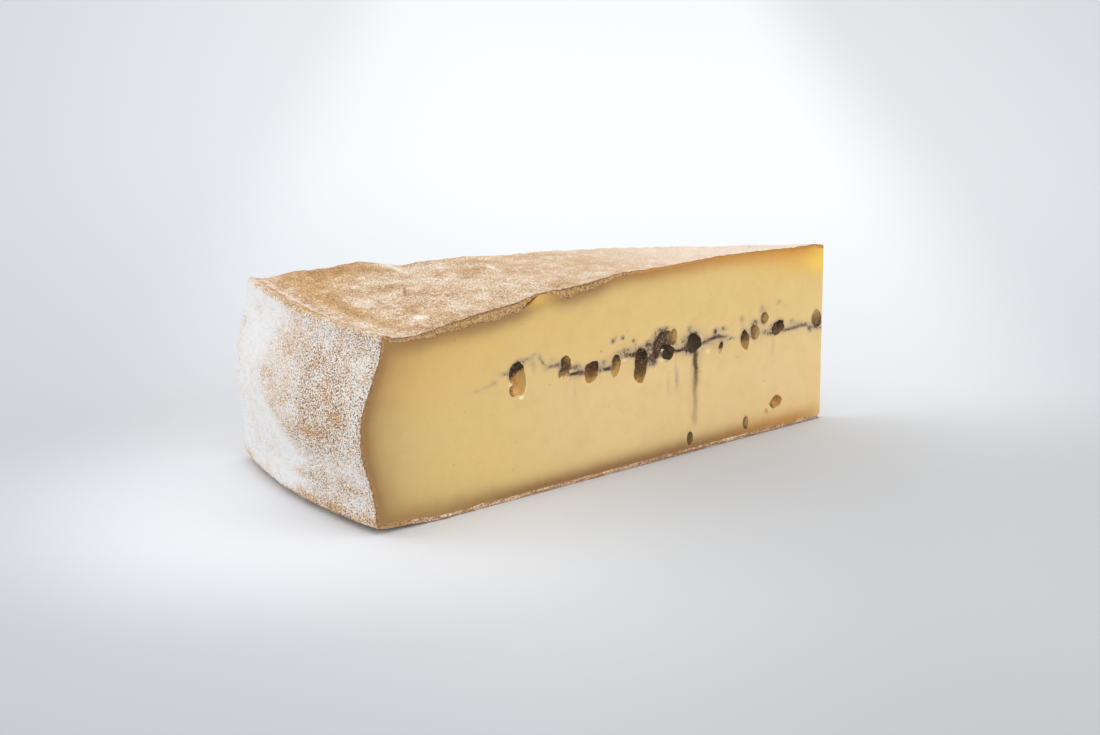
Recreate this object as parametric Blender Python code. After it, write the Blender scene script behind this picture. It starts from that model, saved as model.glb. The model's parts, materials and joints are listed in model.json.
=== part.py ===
"""One wedge of Morbier cheese, cut from a wheel, standing on its flat bottom rind.

Two solids: the cheese itself, rind and paste in one piece, and the thin ash layer that runs through
its middle. The row's +X points at the wedge's tip, +Z is up, and the origin is under the middle of the
bounding box. The near cut face looks towards -Y and the far one towards +Y. Metres throughout.

A place in the wheel is given by three numbers: the distance r from the wheel's centre, the share t of
the way from the near cut (0) to the far cut (1), and the height z above the table.
"""

import math

import bmesh
import bpy
import numpy as np
from mathutils import Matrix, Vector

# Wheel and cut
HEEL_RADIUS = 0.184
SECTOR = math.radians(28.5)
TIP_WIDTH = 0.002
GROUND = 0.0

# Heel: the wheel's rim, which bulges at mid height and leans in a little towards the top
TOP_INSET = 0.0028
RIM_HEIGHT = 0.0562
BULGE_NEAR = 0.0070
BULGE_FAR = 0.0034
BULGE_HEIGHT_SHARE = 0.54

# Top: a low dome that sinks at the tip and inside the rim, with a raised lip along the rim
TIP_HEIGHT = 0.0550
DOME_NEAR = 0.0053
DOME_FAR = 0.0037
DOME_SPAN = 0.172
DOME_FULLNESS_NEAR = 0.72
DOME_FULLNESS_FAR = 1.4
TIP_RISE = 0.0013
TIP_REACH_NEAR = 0.018
TIP_REACH_FAR = 0.032
LIP_HEIGHT = 0.0013
LIP_WIDTH = 0.0042
HUMP_RADIUS = 0.152
HUMP_HEIGHT = 0.0022
HUMP_WIDTH = 0.0095
SHOULDER_RADIUS = 0.169
SHOULDER_HEIGHT = 0.0015
SHOULDER_WIDTH = 0.0075
FURROW_RADIUS = 0.137
FURROW_DEPTH = 0.0007
FURROW_WIDTH = 0.0035

# Bottom: flat, and drawn up a little under the rim
LIFT_START = 0.157
LIFT_HEIGHT = 0.0019

# Lumps of the rind, as a smooth random relief
LUMP_SIZE = 0.013
LUMP_DEPTH = 0.0003
LUMP_SEED = 7

# Ash layer, brushed between two layers of curd: where it starts and fades out, and how thick it is
ASH_THICKNESS = 0.0008
ASH_START = 0.0085
ASH_REACH = 0.150
ASH_REACH_WANDER = 0.005
ASH_WAVE_FAR = 0.0016
GAP = 0.0003
OVERSHOOT = 0.004
WELD = 0.000005

# Height of the ash line along the near cut, as (r, z) in millimetres, read where it bends
ASH_LINE_MM = (
    (0, 31.6), (20, 31.6), (36, 32.4), (48, 34.0), (62, 33.4), (76, 32.8), (86, 34.4), (95, 32.6),
    (104, 33.0), (113, 35.2), (120, 38.0), (127, 41.3), (134, 39.2), (142, 36.2), (152, 34.8), (170, 33.8),
)  # fmt: skip

# Eyes in the near cut: r, z, width, height and depth of each mouth in millimetres, and its lean in degrees
NEAR_EYES = (
    (131.6, 37.8, 5.6, 6.8, 3.8, 38),
    (130.4, 35.1, 5.4, 8.0, 2.8, 6),
    (132.4, 32.8, 3.8, 3.8, 3.0, 15),
    (112.2, 37.2, 4.4, 4.4, 2.8, 25),
    (112.9, 34.2, 4.2, 3.8, 0.9, -5),
    (101.8, 32.8, 6.2, 6.8, 4.0, 18),
    (91.9, 33.0, 3.9, 6.4, 2.6, 14),
    (81.3, 30.9, 5.6, 10.8, 3.8, 5),
    (81.9, 34.8, 3.6, 3.6, 3.0, 0),
    (71.2, 37.5, 8.0, 5.6, 2.8, 0),
    (67.6, 37.6, 3.4, 5.0, 2.4, 5),
    (74.3, 36.0, 4.0, 4.8, 2.6, 0),
    (74.9, 34.4, 3.0, 4.2, 2.4, 0),
    (69.7, 33.2, 5.4, 4.2, 3.8, -20),
    (58.5, 34.2, 6.4, 5.6, 4.4, 0),
    (58.9, 36.1, 3.8, 2.8, 2.4, 0),
    (46.8, 30.9, 1.9, 3.8, 1.2, 20),
    (35.8, 31.6, 3.6, 7.0, 2.6, -14),
    (31.4, 33.2, 4.2, 5.0, 2.0, -22),
    (26.9, 37.0, 3.6, 3.9, 2.2, -10),
    (20.7, 33.2, 6.0, 4.4, 3.2, -14),
    (2.5, 32.9, 4.8, 6.4, 1.3, 0),
    (20.9, 9.1, 6.2, 4.0, 2.4, -6),
    (25.6, 6.4, 1.8, 2.7, 0.9, 0),
    (34.9, 4.8, 2.4, 4.4, 1.6, 0),
    (59.8, 4.6, 2.6, 4.4, 1.9, 0),
)
# Eyes in the far cut, which the same layer of ash runs through
FAR_EYES = (
    (136.0, 37.0, 6.0, 5.2, 3.6, 20),
    (118.0, 36.5, 4.6, 7.4, 3.6, -12),
    (97.0, 33.4, 7.2, 6.4, 4.6, 24),
    (84.0, 34.8, 3.6, 4.6, 2.6, 0),
    (70.0, 33.0, 5.6, 8.6, 4.2, -16),
    (49.3, 34.9, 6.4, 5.2, 4.0, 12),
    (33.0, 32.0, 4.0, 4.4, 2.6, 0),
    (88.0, 12.0, 4.2, 3.2, 2.2, 15),
    (41.0, 44.0, 3.0, 2.6, 1.6, 0),
)
# Where the knife broke a flake of rind off the near cut's top edge: as an eye's mouth, in millimetres
RIM_CHIP = (121.6, 60.0, 11.6, 5.2, 1.6, 0)
EYE_SINK = 0.35  # how far an eye's centre lies behind its mouth, as a share of its depth
EYE_ROUGHNESS = 0.09
ICOSPHERE_LEVEL = 2

# Rows of faces
RADIAL_STEPS = 24
RIM_STEPS = 8
RIM_START = 0.87
ACROSS_STEPS = 10
HEIGHT_STEPS = 10
ASH_RADIAL_STEPS = 30
ASH_ACROSS_STEPS = 6

PASTE_COLOUR = (0.74, 0.53, 0.22, 1.0)
RIND_COLOUR = (0.62, 0.45, 0.28, 1.0)
ASH_COLOUR = (0.045, 0.04, 0.038, 1.0)
PASTE_SLOT = 0
RIND_SLOT = 1


def smoothstep(x):
    x = np.clip(x, 0.0, 1.0)
    return x * x * (3 - 2 * x)


def bell(x):
    return np.exp(-x * x)


def mix(near, far, t):
    return near + (far - near) * t


def smooth_noise(u, v, seed):
    """Value noise from -1 to 1: random numbers on a square lattice, blended with smoothstep."""
    size = 64
    table = np.random.default_rng(seed).uniform(-1, 1, (size, size))
    u, v = np.broadcast_arrays(np.asarray(u, float), np.asarray(v, float))
    column, row = np.floor(u).astype(int), np.floor(v).astype(int)
    a, b = smoothstep(u - column), smoothstep(v - row)
    corner = [
        [table[(row + j) % size, (column + i) % size] for i in (0, 1)] for j in (0, 1)
    ]
    low = corner[0][0] * (1 - a) + corner[0][1] * a
    high = corner[1][0] * (1 - a) + corner[1][1] * a
    return low * (1 - b) + high * b


def heel_radius(t, z):
    """Radius of the heel: a straight lean from bottom corner to top corner, plus a squared-sine bulge."""
    share = np.clip(z / RIM_HEIGHT, 0, 1)
    # The bulge is widest at BULGE_HEIGHT_SHARE of the height: the share is bent by a power to put it there.
    bent = share ** (math.log(0.5) / math.log(BULGE_HEIGHT_SHARE))
    bulge = mix(BULGE_NEAR, BULGE_FAR, t) * np.sin(math.pi * bent) ** 2
    return HEEL_RADIUS - TOP_INSET * share + bulge


def top_height(r, t):
    """Height of the top rind: a dome with tip, lip, hump, shoulder, furrow and lumps added.

    The dome is a half sine over its span, raised to a power that makes it fuller or flatter near the tip.
    """
    wave = np.sin(math.pi * np.minimum(r, DOME_SPAN) / DOME_SPAN).clip(0, 1)
    fullness = mix(DOME_FULLNESS_NEAR, DOME_FULLNESS_FAR, t)
    dome = mix(DOME_NEAR, DOME_FAR, t) * wave ** mix(
        fullness, 1, smoothstep(r / 0.06 - 1)
    )
    tip = TIP_RISE * bell(r / mix(TIP_REACH_NEAR, TIP_REACH_FAR, t))
    lip = (
        LIP_HEIGHT * bell((r - HEEL_RADIUS) / LIP_WIDTH) * smoothstep(1.25 - 0.75 * t)
    )
    far_side = smoothstep(t * 1.4 - 0.4)
    hump = HUMP_HEIGHT * bell((r - HUMP_RADIUS) / HUMP_WIDTH) * far_side
    shoulder = SHOULDER_HEIGHT * bell((r - SHOULDER_RADIUS) / SHOULDER_WIDTH) * far_side
    furrow = FURROW_DEPTH * bell((r - FURROW_RADIUS) / FURROW_WIDTH) * far_side
    across = r * SECTOR * t / LUMP_SIZE + 5
    lumps = LUMP_DEPTH * smoothstep(r / 0.03)
    lumps = lumps * smooth_noise(r / LUMP_SIZE, across, LUMP_SEED)
    return TIP_HEIGHT + dome + tip + lip + hump + shoulder - furrow + lumps


def bottom_height(r):
    return GROUND + LIFT_HEIGHT * smoothstep(
        (r - LIFT_START) / (HEEL_RADIUS - LIFT_START)
    )


def ash_height(r, t):
    """Height of the ash layer's middle: the near cut's line, which eases into a slow wave towards the far cut."""
    line = np.array(ASH_LINE_MM) / 1000
    near = np.interp(r, line[:, 0], line[:, 1])
    mean = float(line[:, 1].mean())
    far = (
        mean
        + ASH_WAVE_FAR * np.sin(2 * math.pi * r / 0.061 + 0.8)
        + 0.5 * ASH_WAVE_FAR * np.sin(2 * math.pi * r / 0.023)
    )
    return mix(near, far, smoothstep(t))


def place(r, t, z):
    """World position of a place in the wheel, before the wedge is centred: the tip's middle is at x 0, y 0."""
    angle = SECTOR * (t - 0.5)
    x = -r * np.cos(angle)
    y = TIP_WIDTH * (t - 0.5) + r * np.sin(angle)
    return np.stack(np.broadcast_arrays(x, y, z), axis=-1)


def face_frame(side):
    """Origin, outward direction along the cut, and inward normal of a cut face: side -1 near, +1 far."""
    half = SECTOR / 2
    origin = Vector((0.0, side * TIP_WIDTH / 2, 0.0))
    along = Vector((-math.cos(half), side * math.sin(half), 0.0))
    inward = Vector((-math.sin(half), -side * math.cos(half), 0.0))
    return origin, along, inward


def skin(points):
    """Vertices and quads of the closed outer surface of a lattice of points, shaped (ni, nj, nk, 3)."""
    ni, nj, nk = points.shape[:3]
    index = np.arange(ni * nj * nk).reshape(ni, nj, nk)
    sides = (
        index[0],
        index[-1],
        index[:, 0],
        index[:, -1],
        index[:, :, 0],
        index[:, :, -1],
    )
    quads = np.concatenate(
        [
            np.stack([s[:-1, :-1], s[1:, :-1], s[1:, 1:], s[:-1, 1:]], -1).reshape(
                -1, 4
            )
            for s in sides
        ]
    )
    used, quads = np.unique(quads, return_inverse=True)
    return points.reshape(-1, 3)[used], quads.reshape(-1, 4)


def material(name, colour, roughness):
    made = bpy.data.materials.new(name)
    made.use_nodes = True
    shader = made.node_tree.nodes["Principled BSDF"]
    shader.inputs["Base Color"].default_value = colour
    shader.inputs["Roughness"].default_value = roughness
    shader.inputs["Metallic"].default_value = 0.0
    return made


def solid(name, points, materials):
    """A mesh object of a lattice's skin, with its faces turned outwards."""
    vertices, quads = skin(points)
    mesh = bpy.data.meshes.new(name)
    mesh.from_pydata(vertices.tolist(), [], quads.tolist())
    work = bmesh.new()
    work.from_mesh(mesh)
    bmesh.ops.recalc_face_normals(work, faces=work.faces)
    bmesh.ops.triangulate(work, faces=work.faces)
    work.to_mesh(mesh)
    work.free()
    for one in materials:
        mesh.materials.append(one)
    made = bpy.data.objects.new(name, mesh)
    bpy.context.scene.collection.objects.link(made)
    return made


def radial_stations():
    """Shares of the way from tip to heel, closer together where the rim curls up."""
    inner = np.linspace(0, RIM_START, RADIAL_STEPS, endpoint=False)
    return np.concatenate([inner, np.linspace(RIM_START, 1, RIM_STEPS + 1)])


def wedge_points():
    """Lattice of the whole wedge: each column runs from the bottom rind to the top rind."""
    s = radial_stations()[:, None, None]
    t = np.linspace(0, 1, ACROSS_STEPS + 1)[None, :, None]
    h = np.linspace(0, 1, HEIGHT_STEPS + 1)[None, None, :]
    flat_r = s * HEEL_RADIUS
    z = mix(bottom_height(flat_r), top_height(flat_r, t), h)
    return place(s * heel_radius(t, z), t, z)


def ash_points(spare):
    """Lattice of the ash layer, thicker by spare on each side, whose two outer rows lie past the cuts."""
    share = np.linspace(0, 1, ASH_RADIAL_STEPS + 1)[:, None]
    t = np.linspace(0, 1, ASH_ACROSS_STEPS + 1)[None, :]
    reach = (
        ASH_REACH + ASH_REACH_WANDER * np.sin(3 * math.pi * t) * np.sin(math.pi * t)
    )
    start = ASH_START - spare
    r = start + (reach + spare - start) * share
    middle = ash_height(r, t)
    half = ASH_THICKNESS / 2 + spare
    layers = np.stack([place(r, t, middle - half), place(r, t, middle + half)], axis=2)
    layers[:, 0] -= np.array(face_frame(-1)[2]) * OVERSHOOT
    layers[:, -1] -= np.array(face_frame(1)[2]) * OVERSHOOT
    return layers


def eye_cutter(name, side, r, z, width, height, depth, lean, paste):
    """A lumpy ellipsoid behind a cut face, sunk so that its section at the face is the eye's mouth."""
    origin, along, inward = face_frame(side)
    mouth = math.sqrt(1 - EYE_SINK**2)
    work = bmesh.new()
    bmesh.ops.create_icosphere(work, subdivisions=ICOSPHERE_LEVEL, radius=1)
    seed = int(r * 1e4) + 3
    for vertex in work.verts:
        u, v = (
            math.atan2(vertex.co.y, vertex.co.x) / math.pi * 2 + 4,
            vertex.co.z * 2 + 4,
        )
        vertex.co *= 1 + EYE_ROUGHNESS * float(smooth_noise(u, v, seed))
    mesh = bpy.data.meshes.new(name)
    work.to_mesh(mesh)
    work.free()
    mesh.materials.append(paste)
    made = bpy.data.objects.new(name, mesh)
    centre = (
        origin
        + along * r
        + Vector((0, 0, z))
        + inward * (EYE_SINK * depth / (1 + EYE_SINK))
    )
    axes = Matrix((along, Vector((0, 0, 1)), inward)).transposed().to_4x4()
    size = Matrix.Diagonal(
        (width / 2 / mouth, height / 2 / mouth, depth / (1 + EYE_SINK), 1)
    )
    spin = Matrix.Rotation(math.radians(lean), 4, "Z")
    mesh.transform(Matrix.Translation(centre) @ axes @ spin @ size)
    if axes.determinant() < 0:
        mesh.flip_normals()
    return made


def eye_cutters(paste):
    """All the eyes of both cuts, in a collection of their own that is only used for cutting."""
    cutters = bpy.data.collections.new("eyes")
    bpy.context.scene.collection.children.link(cutters)
    for side, eyes in ((-1, (*NEAR_EYES, RIM_CHIP)), (1, FAR_EYES)):
        for number, (r, z, width, height, depth, lean) in enumerate(eyes):
            name = f"eye_{'near' if side < 0 else 'far'}_{number}"
            sizes = [v / 1000 for v in (r, z, width, height, depth)]
            cutter = eye_cutter(name, side, *sizes, lean, paste)
            cutter.hide_render = True
            cutter.display_type = "WIRE"
            cutters.objects.link(cutter)
    return cutters


def combine(target, operation, tool=None, tools=None):
    """Takes an object, or a collection of them, out of the target, or keeps what the two share."""
    modifier = target.modifiers.new(operation.lower(), "BOOLEAN")
    modifier.operation = operation
    modifier.solver = "EXACT"
    modifier.operand_type = "COLLECTION" if tools else "OBJECT"
    if tools:
        modifier.collection = tools
    else:
        modifier.object = tool


def bake_cuts(target):
    """Applies the cuts, welds doubled points and keeps the largest piece, so no scrap stays between two eyes."""
    graph = bpy.context.evaluated_depsgraph_get()
    cut = bpy.data.meshes.new_from_object(target.evaluated_get(graph))
    work = bmesh.new()
    work.from_mesh(cut)
    bmesh.ops.remove_doubles(work, verts=work.verts, dist=WELD)
    bmesh.ops.triangulate(work, faces=work.faces)
    left, largest = set(work.verts), set()
    while left:
        group, edge = set(), {next(iter(left))}
        while edge:
            group |= edge
            edge = {e.other_vert(v) for v in edge for e in v.link_edges} - group
        left -= group
        largest = max(largest, group, key=len)
    bmesh.ops.delete(
        work, geom=[v for v in work.verts if v not in largest], context="VERTS"
    )
    work.to_mesh(cut)
    work.free()
    target.modifiers.clear()
    target.data = cut


def paint_rind(cheese):
    """Gives the rind's material to the faces of the top, the bottom and the heel of the uncut wedge."""
    cuts = [Vector(face_frame(side)[2]) for side in (-1, 1)] + [Vector((-1, 0, 0))]
    for face in cheese.data.polygons:
        on_a_cut = any(
            face.normal.dot(inward) < -0.97 for inward in cuts[:2]
        ) or face.normal.dot(cuts[2]) < -0.97
        face.material_index = PASTE_SLOT if on_a_cut else RIND_SLOT


def centre_over_origin(objects):
    """Moves the pieces so that the middle of their common box is over the origin."""
    corners = np.array([v.co for one in objects for v in one.data.vertices])
    low, high = corners.min(axis=0), corners.max(axis=0)
    shift = Vector((-(low[0] + high[0]) / 2, -(low[1] + high[1]) / 2, 0))
    for one in objects:
        one.data.transform(Matrix.Translation(shift))


def build():
    for old in list(bpy.data.objects):
        bpy.data.objects.remove(old)
    paste = material("paste", PASTE_COLOUR, 0.45)
    rind = material("rind", RIND_COLOUR, 0.85)
    ash = material("ash", ASH_COLOUR, 0.9)

    cheese = solid("cheese", wedge_points(), (paste, rind))
    paint_rind(cheese)
    ash_layer = solid("ash_layer", ash_points(0.0), (ash,))
    slot = solid("ash_slot", ash_points(GAP), (paste,))
    slot.hide_render = True
    slot.display_type = "WIRE"
    eyes = eye_cutters(paste)

    combine(ash_layer, "INTERSECT", tool=cheese)
    combine(ash_layer, "DIFFERENCE", tools=eyes)
    bake_cuts(ash_layer)
    combine(cheese, "DIFFERENCE", tool=slot)
    combine(cheese, "DIFFERENCE", tools=eyes)
    bake_cuts(cheese)
    for cutter in [slot, *eyes.objects]:
        bpy.data.objects.remove(cutter)
    centre_over_origin((cheese, ash_layer))
    for piece in (cheese, ash_layer):
        piece.data.shade_smooth()
        piece.data.set_sharp_from_angle(angle=math.radians(35))


build()
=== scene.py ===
"""A wedge of Morbier cheese on a pale floor: washed rind, pale yellow paste with a line of eyes, and ash.

A place in the wheel is the distance r from the wheel's centre, the share t of the way from the shown cut
(0) to the hidden one (1), and the height z. The wedge's tip is the wheel's centre.
"""

import itertools
import json
import math

import bmesh
import bpy
import numpy as np
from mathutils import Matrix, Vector

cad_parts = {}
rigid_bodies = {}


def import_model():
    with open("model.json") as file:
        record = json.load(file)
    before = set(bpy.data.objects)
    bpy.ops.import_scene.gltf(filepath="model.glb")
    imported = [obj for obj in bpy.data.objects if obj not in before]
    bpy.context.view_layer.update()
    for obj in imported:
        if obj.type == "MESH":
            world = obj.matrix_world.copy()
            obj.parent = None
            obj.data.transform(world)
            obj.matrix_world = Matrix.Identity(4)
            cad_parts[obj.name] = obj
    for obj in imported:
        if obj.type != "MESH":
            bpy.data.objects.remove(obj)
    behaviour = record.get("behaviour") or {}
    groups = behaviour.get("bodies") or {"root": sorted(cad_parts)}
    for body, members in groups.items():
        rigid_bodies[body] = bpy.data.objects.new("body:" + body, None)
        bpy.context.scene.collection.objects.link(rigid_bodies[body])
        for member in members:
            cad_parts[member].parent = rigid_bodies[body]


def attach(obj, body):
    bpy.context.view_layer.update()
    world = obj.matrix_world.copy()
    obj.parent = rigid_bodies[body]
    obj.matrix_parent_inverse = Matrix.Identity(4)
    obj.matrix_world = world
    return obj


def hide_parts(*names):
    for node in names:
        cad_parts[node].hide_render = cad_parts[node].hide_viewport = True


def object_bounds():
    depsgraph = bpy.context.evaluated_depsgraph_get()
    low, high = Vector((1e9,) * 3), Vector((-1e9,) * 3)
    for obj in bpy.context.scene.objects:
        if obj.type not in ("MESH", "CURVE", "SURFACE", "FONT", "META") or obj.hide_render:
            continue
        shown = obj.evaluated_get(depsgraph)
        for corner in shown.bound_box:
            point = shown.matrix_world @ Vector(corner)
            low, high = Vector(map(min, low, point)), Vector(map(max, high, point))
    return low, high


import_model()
cad_low, cad_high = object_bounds()
MM = 0.001

# Rind. The dry skin of the wheel, washed and rubbed while it ripened: about a millimetre thick, tan to
# ochre, pitted, with a raised lip round the heel's top edge and white bloom in patches. Made as one shell
# that wraps the bottom, the heel and the top, and whose torn edge shows round both cuts.

HEEL_RADIUS = 184 * MM
SECTOR = math.radians(28.5)
TIP_WIDTH = 2 * MM
TIP_X = cad_high.x
TIP_Y = 0.44 * MM
TOP_INSET = 2.8 * MM
RIM_HEIGHT = 56.2 * MM
BULGE = (7.0 * MM, 3.4 * MM)
BULGE_HEIGHT_SHARE = 0.54
TIP_HEIGHT = 55 * MM
DOME = (5.3 * MM, 3.7 * MM)
DOME_SPAN = 172 * MM
DOME_FULLNESS = (0.72, 1.4)
LIFT_START = 157 * MM
LIFT_HEIGHT = 1.9 * MM

# Numbers of points round the outline, of which the foot's stand closest, and across the wedge
BOTTOM_STATIONS = 56
FOOT_STATIONS = 24
FOOT_START = 0.87
HEEL_STATIONS = 128
TOP_STATIONS = 322
ACROSS_STATIONS = 151
NEAR_MIDDLE = 60
INNER_STATIONS = 5
BAND_STATIONS = 9
CORNER_SOFTENING = 1.6
SOFTENING_REACH = 5

# Where a flake of rind broke off the top edge of the shown cut: r, half length, height and depth
CHIP_AT = 121.8 * MM
CHIP_LONG = 5.2 * MM
CHIP_TALL = 3.4 * MM
CHIP_DEEP = 2.0 * MM
# Thickness of the top's rind in mm from the tip to the heel
TOP_THICKNESS = (
    (0, 62, 84, 94, 102, 112, 122, 131, 143, 155, 169, 184),
    (0.8, 0.8, 0.9, 1.2, 2.2, 2.7, 2.5, 3.0, 3.4, 2.6, 1.4, 1.0),
)


def smoothstep(x):
    """3x^2 - 2x^3, held at 0 and 1 outside."""
    x = np.clip(x, 0.0, 1.0)
    return x * x * (3 - 2 * x)


def bell(x):
    """exp(-x^2)."""
    return np.exp(-np.square(x))


def mix(a, b, share):
    """a + (b - a) share."""
    return a + (b - a) * share


def plane_noise(u, v, seed):
    """Value noise from -1 to 1: random numbers on a square lattice, blended with smoothstep."""
    size = 64
    table = np.random.default_rng(seed).uniform(-1, 1, (size, size))
    u, v = np.broadcast_arrays(np.asarray(u, float), np.asarray(v, float))
    column, row = np.floor(u).astype(int), np.floor(v).astype(int)
    a, b = smoothstep(u - column), smoothstep(v - row)
    corner = [[table[(row + j) % size, (column + i) % size] for i in (0, 1)] for j in (0, 1)]
    return mix(mix(corner[0][0], corner[0][1], a), mix(corner[1][0], corner[1][1], a), b)


def grain(points, size, seed, octaves=1):
    """Value noise from -1 to 1 in space, in cells of that size, plus octaves of half the size and height."""
    table = np.random.default_rng(seed).uniform(-1, 1, 4096)
    total, height = 0.0, 1.0
    for octave in range(octaves):
        place_in = np.asarray(points, float) / (size / 2**octave) + 31.7 * octave
        cell = np.floor(place_in).astype(np.int64)
        share = smoothstep(place_in - cell)
        for corner in itertools.product((0, 1), repeat=3):
            key = (cell + corner) @ np.array([73, 1483, 3571]) % 4096
            weight = np.prod(np.where(corner, share, 1 - share), axis=-1)
            total = total + height * table[key] * weight
        height /= 2
    return total


def heel_radius(t, z):
    """A straight lean from bottom to top corner, plus a squared sine bulge, widest at its height share."""
    share = np.clip(z / RIM_HEIGHT, 0, 1)
    bent = share ** (math.log(0.5) / math.log(BULGE_HEIGHT_SHARE))
    return HEEL_RADIUS - TOP_INSET * share + mix(*BULGE, t) * np.sin(math.pi * bent) ** 2


def top_height(r, t):
    """Half a sine over the dome's span, to a power, plus bells for tip, lip, hump and furrow, and lumps."""
    wave = np.sin(math.pi * np.minimum(r, DOME_SPAN) / DOME_SPAN).clip(0, 1)
    power = mix(mix(*DOME_FULLNESS, t), 1, smoothstep(r / (60 * MM) - 1))
    tip = 1.3 * MM * bell(r / mix(18 * MM, 32 * MM, t))
    lip = 1.3 * MM * bell((r - HEEL_RADIUS) / (4.2 * MM)) * smoothstep(1.25 - 0.75 * t)
    far_side = smoothstep(t * 1.4 - 0.4)
    hump = 2.2 * MM * bell((r - 152 * MM) / (9.5 * MM)) * far_side
    shoulder = 1.5 * MM * bell((r - 169 * MM) / (7.5 * MM)) * far_side
    furrow = 0.7 * MM * bell((r - 137 * MM) / (3.5 * MM)) * far_side
    lumps = 0.3 * MM * smoothstep(r / (30 * MM))
    lumps = lumps * plane_noise(r / (13 * MM), r * SECTOR * t / (13 * MM) + 5, 7)
    return TIP_HEIGHT + mix(*DOME, t) * wave**power + tip + lip + hump + shoulder - furrow + lumps


def bottom_height(r):
    """Flat, then a smoothstep rise under the heel."""
    return LIFT_HEIGHT * smoothstep((r - LIFT_START) / (HEEL_RADIUS - LIFT_START))


def place(r, t, z):
    """Position of a place in the wheel: a ray from the tip, whose start slides across the tip's width."""
    angle = SECTOR * (t - 0.5)
    x = TIP_X - r * np.cos(angle)
    y = TIP_Y + TIP_WIDTH * (t - 0.5) + r * np.sin(angle)
    return np.stack(np.broadcast_arrays(x, y, z), axis=-1)


def cut_frame(side):
    """Origin, direction away from the tip and inward normal of a cut: -1 is the shown one, 1 the hidden."""
    half = SECTOR / 2
    origin = np.array([TIP_X, TIP_Y + side * TIP_WIDTH / 2, 0.0])
    along = np.array([-math.cos(half), side * math.sin(half), 0.0])
    inward = np.array([-math.sin(half), -side * math.cos(half), 0.0])
    return origin, along, inward


def chip(r, z, t):
    """How far the shown cut falls back where the flake broke off its top edge: a bell along the edge."""
    along = bell((r - CHIP_AT) / CHIP_LONG)
    below_top = top_height(r, 0.0) - z
    return CHIP_DEEP * along * smoothstep(1 - below_top / CHIP_TALL) * smoothstep(1 - t * 22)


def rind_thickness(r, z, t):
    """Thin on heel and bottom, following its own list over the top, and nearly gone at the chip."""
    on_top = smoothstep((z / MM - 45) / 6)
    thick = mix(1.0, np.interp(r / MM, *TOP_THICKNESS), on_top) + 0.8 * smoothstep(2 - z / MM / 2)
    return thick * MM * (1 - 0.68 * on_top * bell((r - CHIP_AT) / CHIP_LONG) * smoothstep(1 - t * 12))


def rind_outline(t):
    """(r, z) of stations out along the bottom, up the heel and back along the top, softened at the corners.

    The softening is a running average with bell weights along the stations.
    """
    inner = np.linspace(0, FOOT_START, BOTTOM_STATIONS - FOOT_STATIONS, endpoint=False)
    foot = np.linspace(FOOT_START, 1, FOOT_STATIONS, endpoint=False)
    bottom = np.concatenate([inner, foot])[:, None]
    rise = np.linspace(0, 1, HEEL_STATIONS, endpoint=False)[:, None]
    top = np.linspace(1, 0, TOP_STATIONS)[:, None]
    t = t[None, :]
    z_bottom = bottom_height(bottom * HEEL_RADIUS) + 0 * t
    z_heel = mix(bottom_height(HEEL_RADIUS), top_height(HEEL_RADIUS, t), rise)
    z_top = top_height(top * HEEL_RADIUS, t)
    z = np.concatenate([z_bottom, z_heel, z_top])
    share = np.concatenate([bottom, np.ones_like(rise), top])
    outline = np.stack([share * heel_radius(t, z), z], axis=-1)
    reach = SOFTENING_REACH
    weights = bell(np.arange(-reach, reach + 1) / CORNER_SOFTENING / math.sqrt(2))
    padded = np.concatenate([outline[:1]] * reach + [outline] + [outline[-1:]] * reach)
    shares = enumerate(weights / weights.sum())
    soft = sum(weight * padded[first : first + len(outline)] for first, weight in shares)
    soft[0], soft[-1] = outline[0], outline[-1]
    return soft


def grid_normals(points):
    """Unit cross products of the differences along the two directions of a grid of points."""
    normal = np.cross(np.gradient(points, axis=0), np.gradient(points, axis=1))
    return normal / np.linalg.norm(normal, axis=-1, keepdims=True)


def crease_line(t):
    """r in mm of the crease inside the lip: it runs nearer the tip halfway across than at the two cuts."""
    return 177.4 - 1.8 * np.sin(math.pi * np.clip(t, 0, 1)) ** 1.5


def rind_relief(points, r, z, t):
    """Height of the rind's own relief: lumps, grain, the lip's crease and pits, each from noise in space."""
    on_top = smoothstep((z / MM - 50) / 4) * smoothstep((183 - r / MM) / 2)
    heel = smoothstep((r / MM - 178) / 4) * (1 - on_top)
    lumps = 0.15 * grain(points, 6 * MM, 11) + 0.10 * grain(points, 2.2 * MM, 12, 2)
    broken = (0.55 + 0.6 * grain(points, 5 * MM, 14, 2)).clip(0, 1.2)
    crease = -0.40 * bell((r / MM - crease_line(t)) / 1.3) * on_top * broken
    ridge = 0.25 * bell((r / MM - crease_line(t) - 4) / 1.6) * on_top
    pits = -0.22 * smoothstep(grain(points, 1.1 * MM, 15) * 2.4 - 0.4) * mix(0.4, 1.0, heel)
    wrinkle = 0.07 * on_top * np.sin(r / MM * 1.1 + 5 * grain(points, 9 * MM, 16))
    flat = smoothstep(z / MM / 0.6) * smoothstep(r / MM / 3)
    return (lumps + crease + ridge + pits + wrinkle) * flat * MM


def tube(rings):
    """Quads that join each ring of a stack of closed rings to the next, and one face that closes each end."""
    count, size = rings.shape[:2]
    index = np.arange(count * size).reshape(count, size)
    turned = np.roll(index, -1, axis=1)
    quads = np.stack([index[:-1], turned[:-1], turned[1:], index[1:]], axis=-1).reshape(-1, 4)
    return rings.reshape(-1, 3), [*quads.tolist(), index[0][::-1].tolist(), index[-1].tolist()]


def add_vectors(mesh, name, values):
    """One vector attribute on a mesh's vertices."""
    layer = mesh.attributes.new(name, "FLOAT_VECTOR", "POINT")
    layer.data.foreach_set("vector", np.asarray(values, np.float32).ravel())


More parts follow.
